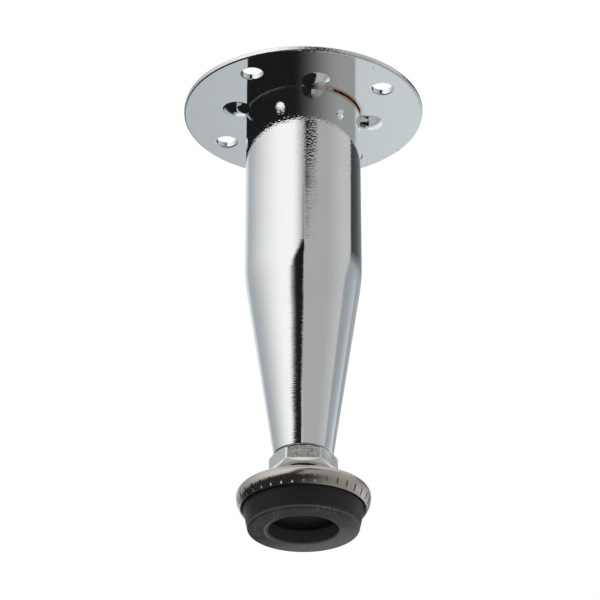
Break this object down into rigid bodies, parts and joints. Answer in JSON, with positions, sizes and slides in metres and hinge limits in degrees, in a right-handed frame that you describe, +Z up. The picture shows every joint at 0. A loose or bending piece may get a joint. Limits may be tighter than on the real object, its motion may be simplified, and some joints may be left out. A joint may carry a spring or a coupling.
{
  "type": "furniture leg",
  "caption": "Tapered chromed tube leg with a round bolt-on plate at the top and, at the bottom, a levelling foot turned by a hex, with a rubber pad that swivels on a ball.",
  "frame": {"origin": "middle of the rubber foot's underside, on the floor", "axes": "+Z up along the leg's axis to the mounting plate, -Y towards the viewer of the picture"},
  "size_m": [0.08, 0.08, 0.1534],
  "materials": {
    "chrome": "polished chrome plating",
    "zinc": "bright zinc plating",
    "nickel": "nickel plating",
    "steel": "plain steel",
    "rubber": "satin moulded rubber"
  },
  "bodies": {
    "leg": {"mounting_plate": "chrome", "leg_tube": "chrome", "threaded_insert": "steel"},
    "swivel_seat": {"swivel_washer": "steel"},
    "stud": {"levelling_stud": "zinc", "adjusting_hex": "zinc"},
    "foot": {"foot_cup": "nickel", "rubber_foot": "rubber", "thrust_cup": "steel"}
  },
  "joints": [
    {"name": "height_slide", "type": "slide", "parent": "leg", "child": "swivel_seat", "axis": [0, 0, -1], "range_m": [0, 0.015]},
    {"name": "stud_turn", "type": "hinge", "parent": "swivel_seat", "child": "stud", "pos_m": [0, 0, 0.0123], "axis": [0, 0, -1], "range_deg": [0, 3600]},
    {"name": "foot_tilt", "type": "hinge", "parent": "swivel_seat", "child": "foot", "pos_m": [0, 0, 0.0123], "axis": [0, 1, 0], "range_deg": [-5, 5]}
  ],
  "couplings": [
    {"joint": "stud_turn", "follows": "height_slide", "rad_per_m": 4188.8}
  ]
}
